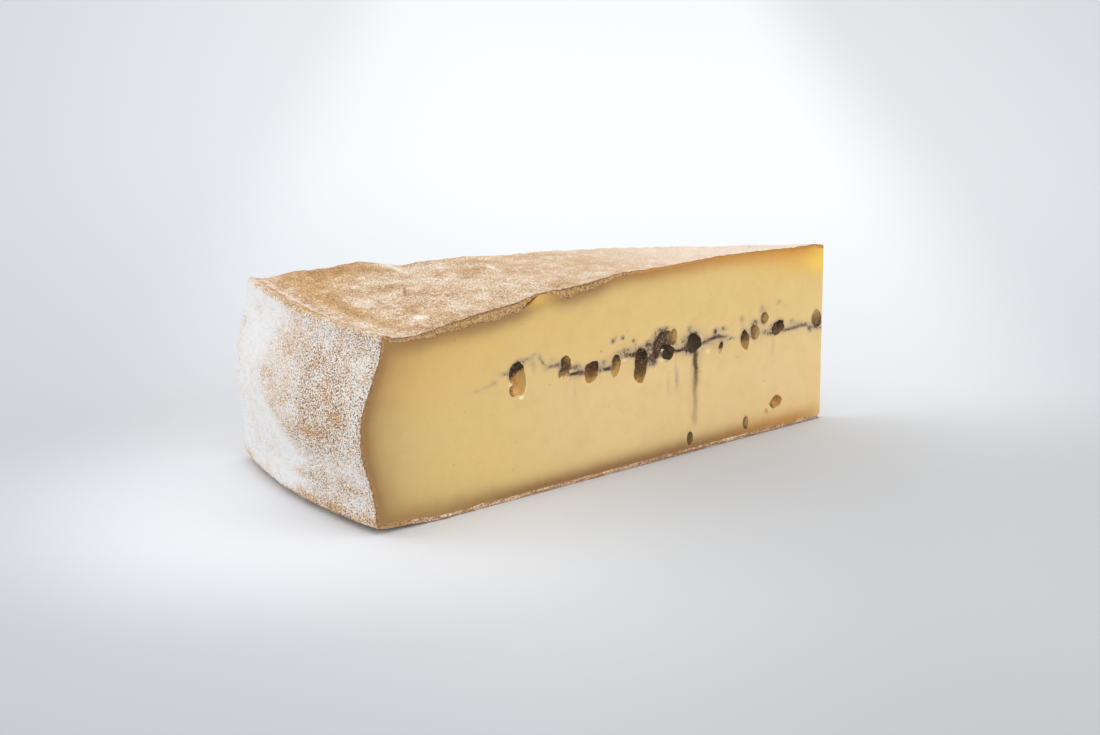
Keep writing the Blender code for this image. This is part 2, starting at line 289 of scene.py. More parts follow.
def mesh_piece(name, vertices, faces, attributes=()):
    """A mesh object at the origin, faces turned outwards, with one vector attribute for each given array."""
    mesh = bpy.data.meshes.new(name)
    mesh.from_pydata(np.asarray(vertices).tolist(), [], faces if isinstance(faces, list) else faces.tolist())
    work = bmesh.new()
    work.from_mesh(mesh)
    bmesh.ops.recalc_face_normals(work, faces=work.faces)
    work.to_mesh(mesh)
    work.free()
    for label, values in dict(attributes).items():
        add_vectors(mesh, label, values)
    mesh.shade_smooth()
    made = bpy.data.objects.new(name, mesh)
    bpy.context.scene.collection.objects.link(made)
    return made


def rind_shell():
    """Rings round the shell's thickness, one for each station of the outline.

    Each ring runs across the outer surface, in through the torn edge at the hidden cut, back across the
    inner surface, and out through the torn edge at the shown cut. With the points come, in the same layout,
    r in mm, the share t, the share of the thickness behind the surface, and the arc: the distance round the
    outline in mm.
    """
    t = np.linspace(0, 1, ACROSS_STATIONS)
    outline = rind_outline(t)
    r, z = outline[..., 0], outline[..., 1]
    base = place(r, t[None, :], z)
    normal = grid_normals(base)
    if normal[HEEL_STATIONS // 2 + BOTTOM_STATIONS, NEAR_MIDDLE, 0] > 0:
        normal = -normal
    outer = base + normal * rind_relief(base, r, z, t[None, :])[..., None]
    outer += np.array(cut_frame(-1)[2]) * chip(r, z, t[None, :])[..., None]
    under = smoothstep((BOTTOM_STATIONS + 2 - np.arange(len(base))) / 4)

    def edge(column, side):
        """Torn edge at a cut: rows from the outer corner to the inner one, ragged in depth and in stand."""
        inward = cut_frame(side)[2]
        within = normal[:, column] - (normal[:, column] @ inward)[:, None] * inward
        within /= np.linalg.norm(within, axis=1, keepdims=True)
        thick = rind_thickness(r[:, column], z[:, column], t[column])
        ragged = (1 + 0.28 * grain(base[:, column], 2.2 * MM, 21, 3)).clip(0.74, None)
        share = np.linspace(0, 1, BAND_STATIONS)[None, 1:, None]
        rows = outer[:, column, None] - within[:, None] * (thick * ragged)[:, None, None] * share
        share = share[..., 0]
        roll = share * (1 - share) * 4
        crumbs = smoothstep(grain(rows, 1.0 * MM, 22, 2) * 1.6)
        torn = (0.42 * crumbs - 0.24) * roll * np.minimum(thick / MM, 1.6)[:, None]
        wide = np.clip(thick / MM - 1, 0, 1)[:, None]
        proud = 0.07 + 0.03 * grain(rows, 1.1 * MM, 23) + 0.22 * crumbs * roll * wide
        stand = mix(torn, proud, smoothstep((share - 0.25) / 0.35))
        foot = 0.42 * crumbs * bell((share - 0.6) / 0.35) - 0.45 * (1 - share) ** 3
        stand = stand + under[:, None] * foot
        return rows - inward * stand[..., None] * MM, share[0]

    for column, side in ((0, -1), (-1, 1)):
        worn = under * (0.45 + 0.15 * grain(base[:, column], 1.6 * MM, 24)) * MM
        outer[:, column] += cut_frame(side)[2] * worn[:, None]
    shown, shares = edge(0, -1)
    hidden, _ = edge(-1, 1)
    picks = np.linspace(0, ACROSS_STATIONS - 1, INNER_STATIONS + 2).astype(int)[1:-1]
    thick = rind_thickness(r[:, picks], z[:, picks], t[picks])[..., None]
    inner = base[:, picks] - normal[:, picks] * thick
    rings = np.concatenate([outer, hidden, inner[:, ::-1], shown[:, ::-1]], axis=1)

    band, inside = np.ones((len(r), BAND_STATIONS - 1)), np.ones((len(r), INNER_STATIONS))
    steps = np.linalg.norm(np.diff(base[:, NEAR_MIDDLE], axis=0), axis=1)
    arc = np.concatenate([[0], np.cumsum(steps)])[:, None] / MM
    ring_r = np.concatenate([r, r[:, -1:] * band, r[:, :1] * inside, r[:, :1] * band], axis=1) / MM
    ring_t = np.concatenate([t + 0 * r, band, inside * np.linspace(1, 0, INNER_STATIONS), 0 * band], axis=1)
    ring_depth = np.concatenate([0 * r, band * shares, inside, band * shares[::-1]], axis=1)
    return rings, ring_r, ring_t, ring_depth, arc + 0 * ring_r


rings, rind_r, rind_t, rind_depth, rind_arc = rind_shell()
rind_z = rings[..., 2] / MM

# Arcs, in mm, of the heel's start and end, its bottom corner, the start of the top, and the lip
HEEL_ARCS = (182, 239.5)
FOOT_ARC = 185.4
TOP_ARC = 240
LIP_ARC = 242.2
# Edge of the white side of the heel: height in mm and the share across where the white starts
WHITE_EDGE = (
    (0, 4, 8, 14, 20, 26, 31, 35, 40, 46, 52, 60),
    (0.60, 0.45, 0.36, 0.38, 0.44, 0.54, 0.63, 0.65, 0.60, 0.58, 0.55, 0.60),
)
# Patches of white bloom on the heel, as (share across, height in mm, half width, half height, strength)
HEEL_BLOOM = (
    (0.42, 52, 0.14, 3.0, 0.20),
    (0.20, 51, 0.16, 4.0, 0.18),
    (0.47, 36, 0.11, 6.5, 0.22),
    (0.38, 29, 0.06, 2.5, 0.26),
    (0.07, 46, 0.06, 4.0, 0.26),
    (0.40, 15, 0.10, 3.0, 0.30),
    (0.20, 17, 0.16, 3.0, 0.20),
    (0.04, 36, 0.05, 6.0, 0.14),
    (0.06, 20, 0.10, 6.0, 0.24),
    (0.16, 14, 0.16, 5.0, 0.12),
    (0.10, 8, 0.14, 5.0, 0.24),
    (0.30, 6, 0.12, 3.0, 0.14),
)
# Ochre patches on the heel, in the same way
HEEL_OCHRE = (
    (0.20, 38, 0.05, 6.0, 0.8),
    (0.12, 32, 0.06, 4.0, 0.8),
    (0.27, 26, 0.09, 3.5, 1.0),
    (0.37, 10.5, 0.08, 1.6, 1.1),
    (0.13, 12, 0.05, 2.5, 0.9),
    (0.45, 23, 0.06, 2.0, 0.6),
    (0.50, 44, 0.09, 1.5, 0.5),
    (0.62, 35, 0.03, 4.0, 0.8),
    (0.56, 27, 0.04, 2.0, 0.6),
    (0.95, 44, 0.05, 2.0, 1.2),
    (0.80, 50, 0.05, 2.0, 0.7),
    (0.88, 10, 0.04, 2.0, 0.7),
    (0.74, 17, 0.04, 2.0, 0.5),
    (0.98, 3.0, 0.10, 2.2, 1.2),
    (0.20, 4.0, 0.22, 1.6, 0.7),
)
# White patches and spots on the top, as (r in mm, share across, half length in mm, half width as a share,
# strength)
TOP_BLOOM = (
    (161.0, 0.47, 4.2, 0.11, 0.22),
    (151.0, 0.70, 4.0, 0.08, 0.32),
    (137.2, 0.86, 1.5, 0.13, 0.55),
    (139.5, 0.97, 2.0, 0.05, 0.50),
    (158.0, 0.15, 1.7, 0.035, 1.10),
    (112.6, 0.68, 1.0, 0.050, 0.95),
    (127.5, 0.34, 2.6, 0.060, 0.40),
    (143.0, 0.10, 5.0, 0.070, 0.30),
    (145.0, 0.36, 3.0, 0.080, 0.22),
    (150.0, 0.48, 2.0, 0.050, 0.25),
    (137.6, 0.36, 0.9, 0.018, 0.70),
    (126.2, 0.81, 0.9, 0.024, 0.70),
    (132.0, 0.62, 0.8, 0.020, 0.60),
    (120.0, 0.30, 0.8, 0.020, 0.60),
    (173.0, 0.13, 2.8, 0.12, 0.50),
    (96.0, 0.12, 7.0, 0.10, 0.15),
)
# Darker ochre patches on the top, in the same way
TOP_OCHRE = (
    (168.0, 0.80, 8.0, 0.25, 1.0),
    (168.0, 0.35, 4.5, 0.28, 0.8),
    (161.0, 0.95, 9.0, 0.20, 0.7),
    (155.0, 0.84, 5.0, 0.12, 0.6),
    (154.0, 0.30, 3.0, 0.10, 0.5),
    (147.0, 0.92, 5.0, 0.12, 0.7),
    (142.0, 0.36, 1.2, 0.025, 1.2),
    (121.0, 0.70, 5.0, 0.10, 0.6),
    (119.5, 0.48, 1.5, 0.035, 0.9),
    (108.0, 0.80, 5.0, 0.12, 0.5),
    (130.0, 0.15, 6.0, 0.08, 0.2),
)
# Where a thin crack runs across the top, as share across and r in mm
FURROW_LINE = ((0.27, 0.37, 0.43, 0.54, 0.73, 0.93), (155.0, 151.0, 148.7, 145.0, 140.3, 139.0))


def patches(across, along, spots):
    """Sum of bells round each spot, each with its own half widths and strength."""
    total = 0.0
    for middle_across, middle_along, wide, long, strength in spots:
        total = total + strength * bell((across - middle_across) / wide) * bell((along - middle_along) / long)
    return total


def heel_share():
    """1 on the heel and 0 on the bottom and the top, eased with smoothstep over 3 mm and 2 mm of arc."""
    return smoothstep((rind_arc - HEEL_ARCS[0]) / 3) * smoothstep((HEEL_ARCS[1] - rind_arc) / 2)


def rind_masks():
    """How far each point is on the heel, how much bloom it has, and how far it is into the torn edge.

    The bloom is a level for the heel or the top, plus the patches.
    """
    on_heel = heel_share()
    white = smoothstep((rind_t - np.interp(rind_z, *WHITE_EDGE)) / 0.20 + 0.5)
    heel = 0.48 + 0.48 * white + patches(rind_t, rind_z, HEEL_BLOOM)
    heel -= 0.50 * bell((rind_z - 1.0) / 1.5) + 0.20 * patches(rind_t, rind_z, HEEL_OCHRE)
    paler = smoothstep((156 - rind_r) / 16)
    top = 0.20 + 0.10 * paler + 0.24 * smoothstep((90 - rind_r) / 50)
    top += patches(rind_r, rind_t, TOP_BLOOM) - 0.20 * patches(rind_r, rind_t, TOP_OCHRE)
    return np.stack([on_heel, mix(top, heel, on_heel), rind_depth], axis=-1)


def rind_marks():
    """Ochre of the patches and of both corners, the pale crease inside the lip, and the crack.

    The crease and the crack are bells across their lines.
    """
    on_top = rind_arc > TOP_ARC
    on_heel = heel_share()
    lip = bell((rind_arc - LIP_ARC) / 1.9)
    ochre = mix(patches(rind_r, rind_t, TOP_OCHRE), patches(rind_t, rind_z, HEEL_OCHRE), on_heel)
    ochre = np.maximum(ochre, 1.2 * lip) + 0.8 * bell((rind_arc - FOOT_ARC) / 1.6)
    line = crease_line(rind_t)
    wide = mix(1.1, 2.0, bell((rind_t - 0.02) / 0.22))
    crease = 1.1 * bell((rind_r - line) / wide) + 0.4 * bell((rind_r - line + 3.4) / 0.8) * (rind_t > 0.3)
    aside = rind_r - np.interp(rind_t, *FURROW_LINE)
    crack = 0.80 * bell(aside / 0.40) * bell((rind_t - 0.485) / 0.06)
    crack += 0.30 * bell(aside / 0.6) * smoothstep((rind_t - 0.2) / 0.15) * smoothstep((1.0 - rind_t) / 0.1)
    crack += 0.5 * bell((rind_r - line - 2.6) / 0.45)
    return np.stack([ochre, crease * on_top, crack * on_top], axis=-1)


vertices, faces = tube(rings)
rind = mesh_piece(
    "rind",
    vertices,
    faces,
    {
        "skin": rind_masks().reshape(-1, 3),
        "marks": rind_marks().reshape(-1, 3),
        "spot": np.stack([rind_r, rind_t, rind_z], axis=-1).reshape(-1, 3),
    },
)


class Wire:
    """A socket that can stand in a sum: each operator adds one Math node to its finish."""

    def __init__(self, finish, socket):
        self.finish = finish
        self.socket = socket

    def math(self, operation, *terms):
        return self.finish.node("ShaderNodeMath", {"operation": operation}, dict(enumerate(terms)))

    def __add__(self, other):
        return self.math("ADD", self, other)

    def __sub__(self, other):
        return self.math("SUBTRACT", self, other)

    def __rsub__(self, other):
        return self.math("SUBTRACT", other, self)

    def __mul__(self, other):
        return self.math("MULTIPLY", self, other)

    def __truediv__(self, other):
        return self.math("DIVIDE", self, other)

    def __pow__(self, other):
        return self.math("POWER", self, other)

    def __abs__(self):
        return self.math("ABSOLUTE", self)

    __radd__ = __add__


def srgb(red, green, blue):
    """A colour from its 0 to 255 screen values: each is taken to its linear value."""
    share = np.array([red, green, blue]) / 255
    linear = np.where(share <= 0.04045, share / 12.92, ((share + 0.055) / 1.055) ** 2.4)
    return (*linear.tolist(), 1.0)


class Finish:
    """A material. node() adds any node: its type, its settings, set first, and what its sockets take."""

    def __init__(self, name, constants):
        self.material = bpy.data.materials.new(name)
        self.material.use_nodes = True
        self.tree = self.material.node_tree
        self.shader = self.tree.nodes["Principled BSDF"]
        for socket, value in constants.items():
            self.shader.inputs[socket].default_value = value
        self.here = self.node("ShaderNodeTexCoord", output="Object")

    def feed(self, socket, value):
        if isinstance(value, Wire):
            self.tree.links.new(value.socket, socket)
        else:
            socket.default_value = value

    def node(self, kind, settings=(), sockets=(), output=0):
        made = self.tree.nodes.new(kind)
        for name, value in dict(settings).items():
            setattr(made, name, value)
        for name, value in dict(sockets).items():
            self.feed(made.inputs[name], value)
        return Wire(self, made.outputs[output])

    def noise(self, size, detail, roughness, shift=0.0, stretch=(1, 1, 1)):
        """Noise from 0 to 1 whose largest blobs are about that size in metres."""
        moved = self.node(
            "ShaderNodeMapping",
            {},
            {"Vector": self.here, "Location": (shift, shift * 0.7, shift * 1.3), "Scale": stretch},
        )
        return self.node(
            "ShaderNodeTexNoise",
            {},
            {"Vector": moved, "Scale": 1 / size, "Detail": detail, "Roughness": roughness},
        )

    def cells(self, size, shift):
        """Distance to the middle of the nearest of scattered cells, in cell sizes."""
        moved = self.node(
            "ShaderNodeMapping", {}, {"Vector": self.here, "Location": (shift, shift, shift)}
        )
        return self.node(
            "ShaderNodeTexVoronoi",
            {},
            {"Vector": moved, "Scale": 1 / size},
        )

    def step(self, value, low, high):
        """Smooth rise from 0 to 1 between two values, or a fall where low is above high."""
        return self.node(
            "ShaderNodeMapRange",
            {"interpolation_type": "SMOOTHSTEP"},
            {"Value": value, "From Min": low, "From Max": high},
        )

    def blend(self, share, first, second):
        """Colour from first to second by a share, each a blend or three screen values."""
        first, second = [srgb(*end) if isinstance(end, tuple) else end for end in (first, second)]
        return self.node(
            "ShaderNodeMix",
            {"data_type": "RGBA"},
            {"Factor": share, 6: first, 7: second},
            output=2,
        )

    def coats(self, colour, *coats):
        """A colour under coats of others, the lowest first, each given as its share and its colour."""
        for share, coat in coats:
            colour = self.blend(share, colour, coat)
        return colour

    def attribute(self, name):
        """The three numbers of a vector attribute."""
        return self.split(self.node("ShaderNodeAttribute", {"attribute_name": name}, output="Vector"))

    def split(self, vector):
        """The three numbers of a vector."""
        made = self.node("ShaderNodeSeparateXYZ", {}, {0: vector})
        return [Wire(self, out) for out in made.socket.node.outputs]

    def bump(self, height, distance, strength):
        """A bumped normal from a height field whose full height is distance, in metres."""
        sockets = {"Height": height, "Distance": distance, "Strength": strength}
        return self.node("ShaderNodeBump", {}, sockets)

    def output(self, **sockets):
        for name, value in sockets.items():
            self.feed(self.shader.inputs[name.replace("_", " ")], value)
        return self.material


def rind_finish():
    """Tan to ochre skin with white flecks where the bloom is thin, dark pits on the heel, and a torn edge.

    The tone is the bloom plus noise of about a millimetre, and runs from brown over tan to white.
    """
    paint = Finish("rind", {"Metallic": 0.0, "IOR": 1.45, "Specular IOR Level": 0.2})
    heel, bloom, torn = paint.attribute("skin")
    ochre, crease, crack = paint.attribute("marks")
    r, t, z = paint.attribute("spot")
    slow = paint.noise(15 * MM, 2, 0.6)
    patch = paint.noise(4.5 * MM, 3, 0.6, 3.1, (1, 0.7, 1))
    fleck = paint.noise(1.0 * MM, 2, 0.6, 7.7, (1, 0.6, 1))
    fine = paint.noise(0.40 * MM, 1, 0.7, 1.3, (1, 0.6, 1))
    quiet = 1 - heel * paint.step(t, 0.30, 0.52) * 0.45 - (1 - heel) * paint.step(r, 130, 80) * 0.55
    rich = paint.step(ochre * 0.8 + (patch - 0.5) * 1.2, 0.1, 0.8)
    spread = (fleck - 0.5) * 0.9 + (fine - 0.5) * (heel * 2.0 + 3.6) * (1 - rich * 0.3)
    drift = (slow - 0.5) * 1.2 + (patch - 0.5) * (1.8 - heel * 0.3)
    tone = bloom + spread * paint.step(bloom, 1.25, 0.55) * quiet + drift * (0.3 + quiet * 0.7)
    blot = paint.step(paint.cells(3.6 * MM, 4.0), 0.36, 0.14) * paint.step(patch, 0.44, 0.58)
    tone = tone + blot * (0.30 - heel * 0.16)
    dark = paint.blend(heel, (160, 122, 82), (142, 112, 88))
    dark = paint.blend(rich * 0.6, dark, (152, 110, 62))
    tan = paint.blend(heel, (200, 166, 128), (203, 172, 140))
    tan = paint.blend(rich * 0.8, tan, (194, 150, 96))
    pale = paint.blend(heel, (216, 194, 166), (222, 202, 181))
    pale = paint.blend(rich * 0.7, pale, (208, 174, 128))
    white = paint.blend(heel, (234, 222, 206), (229, 228, 227))
    streak = paint.step(crease + (patch - 0.5) * 2.6 + (fine - 0.5) * 2.4, 0.5, 1.05)
    near_tip = paint.step(r, 95, 50) * (1 - heel)
    dots = paint.step(paint.cells(1.8 * MM, 9.0), 0.24, 0.12) * paint.step(patch + slow, 0.96, 1.08)
    pit = paint.step(paint.cells(0.66 * MM, 2.0) + (fine - 0.5) * 0.8, 0.48, 0.12)
    pit = pit * paint.step(fleck + (patch - 0.5) * 0.6, 0.34, 0.54)
    pit = pit * (heel * 0.4 + 0.3) * paint.step(bloom, 1.1, 0.4) * quiet
    line = paint.step(crack + (fine - 0.5) * 0.9, 0.3, 0.7)
    side = paint.step(z, 56, 50) * paint.step(z, 2, 5)
    upper = paint.step(torn, 0.3, 0.04) * paint.step(z, 40, 50)
    smooth = paint.step(r, 90, 78) * paint.step(z, 40, 50)
    crumb = paint.step(fine + (fleck - 0.5) + (patch - 0.5), 0.44, 0.62)
    foot = paint.step(z, 3.4, 2.2) * paint.step(r, 176, 168)
    edge = paint.coats(
        (146, 106, 66),
        (paint.step(fleck, 0.36, 0.60), (192, 148, 98)),
        (paint.step(fine, 0.48, 0.66) * 0.75, (228, 198, 150)),
        (side * 0.75, paint.blend(fleck, (120, 82, 48), (190, 142, 92))),
        (upper * 0.8, (124, 86, 48)),
        (smooth, paint.blend(torn, (186, 128, 64), (208, 156, 84))),
        (foot, paint.blend(crumb, (184, 138, 94), (242, 218, 190))),
    )
    # Painted contact shadow: dark dashes in the lowest 0.4 mm of the rind, where it meets the floor.
    painted_contact_shadow = paint.step(z, 0.4, 0.12) * paint.step(fleck, 0.42, 0.55)
    skin = paint.coats(
        dark,
        (paint.step(tone, -0.45, 0.10), tan),
        (paint.step(tone, 0.15, 0.55), pale),
        (paint.step(tone, 0.5, 1.0), white),
        (streak * 0.75, (228, 211, 200)),
        (near_tip * 0.55, (232, 213, 198)),
        (dots * (0.75 - heel * 0.75), (242, 229, 216)),
        (pit, (100, 78, 60)),
        (line * 0.6, (138, 98, 60)),
        (paint.step(torn, 0.01, 0.1), edge),
        (painted_contact_shadow * 0.7, (124, 90, 62)),
    )
    height = fleck * 0.5 + fine * 0.5 - pit * 0.6 - line * 0.6
    return paint.output(
        Base_Color=skin,
        Roughness=0.84 + fine * 0.1,
        Normal=paint.bump(height, 0.5 * MM, 1.0),
    )


rind.data.materials.append(rind_finish())
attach(rind, "root")
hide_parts("cheese")

# Paste. The pale yellow inside of the cheese: smooth and waxy where the wire cut it, browner towards the
# rind, with round eyes along the ash and a few near the bottom. One closed body, with the eyes carved out.

PASTE_ALONG = 370
PASTE_ACROSS = 10
PASTE_UP = 96
# How far the paste reaches behind the rind
OVERLAP = 0.35 * MM

# Eyes in the shown cut: r, z, width, height and depth in mm, lean of the top towards the tip in degrees, how
# much ash it holds, and the side that the ash lies on, in degrees: 0 towards the tip, 90 up, 180 to the heel
SHOWN_EYES = (
    (131.6, 37.8, 5.6, 6.8, 3.8, 38, 1.05, 128),
    (130.4, 35.1, 5.4, 8.0, 2.8, 6, -0.05, 190),
    (132.4, 32.8, 3.8, 3.8, 3.0, 15, 0.22, 200),
    (112.2, 37.2, 4.4, 4.4, 2.8, 25, 0.70, 215),
    (112.9, 34.2, 4.2, 3.8, 0.9, -5, 0.66, 110),
    (101.8, 32.8, 6.2, 6.8, 4.0, 18, 0.28, 60),
    (91.9, 33.0, 3.9, 6.4, 2.6, 14, 0.50, 125),
    (81.3, 30.9, 5.6, 10.8, 3.8, 5, 0.66, 95),
    (81.9, 34.8, 3.6, 3.6, 3.0, 0, 0.90, 90),
    (71.2, 37.5, 8.0, 5.6, 2.8, 0, 1.00, 180),
    (67.6, 37.6, 3.4, 5.0, 2.4, 5, 0.50, 190),
    (74.3, 36.0, 4.0, 4.8, 2.6, 0, 0.95, 180),
    (74.9, 34.4, 3.0, 4.2, 2.4, 0, 1.00, 180),
    (69.7, 33.2, 5.4, 4.2, 3.8, -20, 1.15, 180),
    (58.5, 34.2, 6.4, 5.6, 4.4, 0, 1.30, 180),
    (58.9, 36.1, 3.8, 2.8, 2.4, 0, 1.30, 90),
    (46.8, 30.9, 1.9, 3.8, 1.2, 20, 0.50, 60),
    (35.8, 31.6, 3.6, 7.0, 2.6, -14, 0.62, 130),
    (31.4, 33.2, 4.2, 5.0, 2.0, -22, 0.60, 175),
    (26.9, 37.0, 3.6, 3.9, 2.2, -10, 0.55, 170),
    (20.7, 33.2, 6.0, 4.4, 3.2, -14, 0.95, 130),
    (2.5, 32.9, 4.8, 6.4, 1.3, 0, 0.50, 265),
    (20.9, 9.1, 6.2, 4.0, 2.4, -6, 0.28, 180),
    (25.6, 6.4, 1.8, 2.7, 0.9, 0, 0.10, 180),
    (34.9, 4.8, 2.4, 4.4, 1.6, 0, 0.62, 180),
    (59.8, 4.6, 2.6, 4.4, 1.9, 0, 0.70, 180),
)
# Eyes in the hidden cut, which the same ash runs through
HIDDEN_EYES = (
    (136.0, 37.0, 6.0, 5.2, 3.6, 20, 0.5, 90),
    (118.0, 36.5, 4.6, 7.4, 3.6, -12, 0.4, 120),
    (97.0, 33.4, 7.2, 6.4, 4.6, 24, 0.8, 60),
    (84.0, 34.8, 3.6, 4.6, 2.6, 0, 0.4, 90),
    (70.0, 33.0, 5.6, 8.6, 4.2, -16, 0.6, 100),
    (49.3, 34.9, 6.4, 5.2, 4.0, 12, 0.9, 150),
    (33.0, 32.0, 4.0, 4.4, 2.6, 0, 0.4, 80),
    (88.0, 12.0, 4.2, 3.2, 2.2, 15, 0.1, 180),
    (41.0, 44.0, 3.0, 2.6, 1.6, 0, 0.1, 0),
)
# How far an eye's middle lies behind its cut, as a share of its depth
EYE_SINK = 0.35
EYE_TURNS = 28
EYE_TILTS = 18

# Height of the ash along the shown cut, as (r, z) in mm
ASH_LINE = np.array(
    [
        (0, 29.6), (6, 30.6), (8, 31.8), (20, 31.6), (28, 32.5), (36, 32.5), (42, 33.2), (48, 34.5),
        (56, 33.4), (62, 32.9), (68, 33.2), (72, 33.4), (76, 32.2), (81, 33.6), (86, 35.2), (90, 34.8),
        (94, 32.5), (104, 33.0), (108, 33.3), (113, 35.2), (116.5, 37.2), (120.5, 38.2), (122.5, 40.4),
        (126, 41.6), (131, 40.4), (134.5, 39.2), (138, 37.2), (143, 35.9), (150, 34.8), (160, 34.1),
        (180, 33.5),
    ]
)
# How strongly the ash shows along the shown cut, as (r in mm, strength)
ASH_STRENGTH = np.array(
    [
        (0, 0.6), (5, 0.6), (18, 0.6), (23, 0.3), (40, 0.2), (44, 0.4), (48, 0.75), (55, 0.75), (62, 0.9),
        (66, 0.8), (72, 0.6), (80, 0.4), (88, 0.35), (96, 0.4), (104, 0.45), (110, 0.5), (114, 0.4),
        (118, 0.3), (128, 0.12), (134, 0.14), (140, 0.15), (150, 0.08), (157, 0.0), (166, 0.0),
    ]
)


def ash_height(r, t):
    """The shown cut's line, eased with smoothstep into two slow sines at the hidden cut."""
    near = np.interp(r / MM, *ASH_LINE.T) * MM
    mean = 34.4 * MM
    far = mean + 1.6 * MM * np.sin(2 * math.pi * r / 0.061 + 0.8)
    far = far + 0.8 * MM * np.sin(2 * math.pi * r / 0.023)
    return mix(near, far, smoothstep(t))


def skin_of_block(points):
    """Vertices and quads of the closed outer surface of a block of points."""
    index = np.arange(points[..., 0].size).reshape(points.shape[:3])
    sides = [index[0], index[-1], index[:, 0], index[:, -1], index[:, :, 0], index[:, :, -1]]
    quads = np.concatenate(
        [np.stack([s[:-1, :-1], s[1:, :-1], s[1:, 1:], s[:-1, 1:]], -1).reshape(-1, 4) for s in sides]
    )
    used, quads = np.unique(quads, return_inverse=True)
    return points.reshape(-1, 3)[used], quads.reshape(-1, 4)


def paste_block():
    """Block of places inside the rind, at shares out from the tip, across and up.

    The two cuts are finely divided, and the rows stand closest where the ash runs.
    """
    outward = np.linspace(0, 1, PASTE_ALONG)[:, None, None]
    t = np.linspace(0, 1, PASTE_ACROSS)[None, :, None]
    even = np.linspace(0, 1, 400)
    crowd = np.cumsum(1 + 2.2 * bell((even - 0.58) / 0.16))
    upward = np.interp(np.linspace(crowd[0], crowd[-1], PASTE_UP), crowd, even)[None, None, :]
    flat_r = outward * HEEL_RADIUS
    top = top_height(flat_r, t)
    low = bottom_height(flat_r) + rind_thickness(flat_r, 0 * top, t) - OVERLAP
    z = mix(low, top - rind_thickness(flat_r, top, t) + OVERLAP, upward)
    heel = heel_radius(t, z) - rind_thickness(HEEL_RADIUS, z, t) + OVERLAP
    r = outward * heel
    points = place(r, t, z)
    points = points + cut_frame(-1)[2] * chip(r, z, t)[..., None]
    waves = 0.10 * grain(points, 16 * MM, 31) + 0.03 * grain(points, 4 * MM, 32)
    for side, face in ((-1, 0), (1, PASTE_ACROSS - 1)):
        points[:, face] -= cut_frame(side)[2] * waves[:, face, :, None] * MM * 0.3
    return points


def eye_shape(side, r, z, width, height, depth, lean, seed):
    """A ball bent by noise, stretched to the eye's size, leant over and sunk behind its cut."""
    turn = np.linspace(0, 2 * math.pi, EYE_TURNS, endpoint=False)[None, :]
    tilt = np.linspace(0, math.pi, EYE_TILTS + 1)[1:-1, None]
    ball = np.stack(
        np.broadcast_arrays(np.sin(tilt) * np.cos(turn), np.sin(tilt) * np.sin(turn), np.cos(tilt)), -1
    )
    ball = np.concatenate([[[0, 0, 1.0]], ball.reshape(-1, 3), [[0, 0, -1.0]]])
    bent = 0.16 * grain(ball, 0.8, seed) + 0.11 * grain(ball, 0.4, seed + 50)
    ball = ball * (1 + bent * min(width / 5, 1.0))[:, None]
    mouth = math.sqrt(1 - EYE_SINK**2)
    ball = ball * np.array([width / 2 / mouth, height / 2 / mouth, depth / (1 + EYE_SINK)]) * MM
    cosine, sine = math.cos(math.radians(lean)), math.sin(math.radians(lean))
    ball = ball @ np.array([[cosine, sine, 0], [-sine, cosine, 0], [0, 0, 1]])
    origin, along, inward = cut_frame(side)
    centre = origin + along * r * MM + np.array([0, 0, z * MM])
    centre = centre + inward * EYE_SINK * depth / (1 + EYE_SINK) * MM
    points = centre + ball @ np.stack([along, [0, 0, 1], inward])
    index = np.arange(1, len(points) - 1).reshape(EYE_TILTS - 1, EYE_TURNS)
    turned = np.roll(index, -1, axis=1)
    quads = np.stack([index[:-1], index[1:], turned[1:], turned[:-1]], -1).reshape(-1, 4).tolist()
    last = len(points) - 1
    caps = [[0, a, b] for a, b in zip(index[0].tolist(), turned[0].tolist())]
    caps += [[last, b, a] for a, b in zip(index[-1].tolist(), turned[-1].tolist())]
    return points, quads + caps


carvers = bpy.data.collections.new("carvers")
bpy.context.scene.collection.children.link(carvers)
for side, eyes in ((-1, SHOWN_EYES), (1, HIDDEN_EYES)):
    for number, eye in enumerate(eyes):
        points, faces = eye_shape(side, *eye[:6], 160 + number + 40 * side)
        carver = mesh_piece(f"carver_{side + 1}_{number}", points, faces)
        bpy.context.scene.collection.objects.unlink(carver)
        carvers.objects.link(carver)


def carve(piece, wall):
    """Takes the eyes out of a piece. The new walls take the wall's material slot."""
    for carver in carvers.objects:
        carver.data.materials.clear()
        carver.data.materials.append(None)
        carver.data.materials.append(None)
        carver.data.polygons.foreach_set("material_index", [wall] * len(carver.data.polygons))
    modifier = piece.modifiers.new("eyes", "BOOLEAN")
    modifier.operation = "DIFFERENCE"
    modifier.solver = "EXACT"
    modifier.operand_type = "COLLECTION"
    modifier.collection = carvers
    bpy.context.view_layer.update()
    graph = bpy.context.evaluated_depsgraph_get()
    carved = bpy.data.meshes.new_from_object(piece.evaluated_get(graph))
    piece.modifiers.clear()
    piece.data = carved


def positions(mesh):
    """All vertices of a mesh as one array."""
    flat = np.empty(len(mesh.vertices) * 3, np.float32)
    mesh.vertices.foreach_get("co", flat)
    return flat.reshape(-1, 3).astype(float)
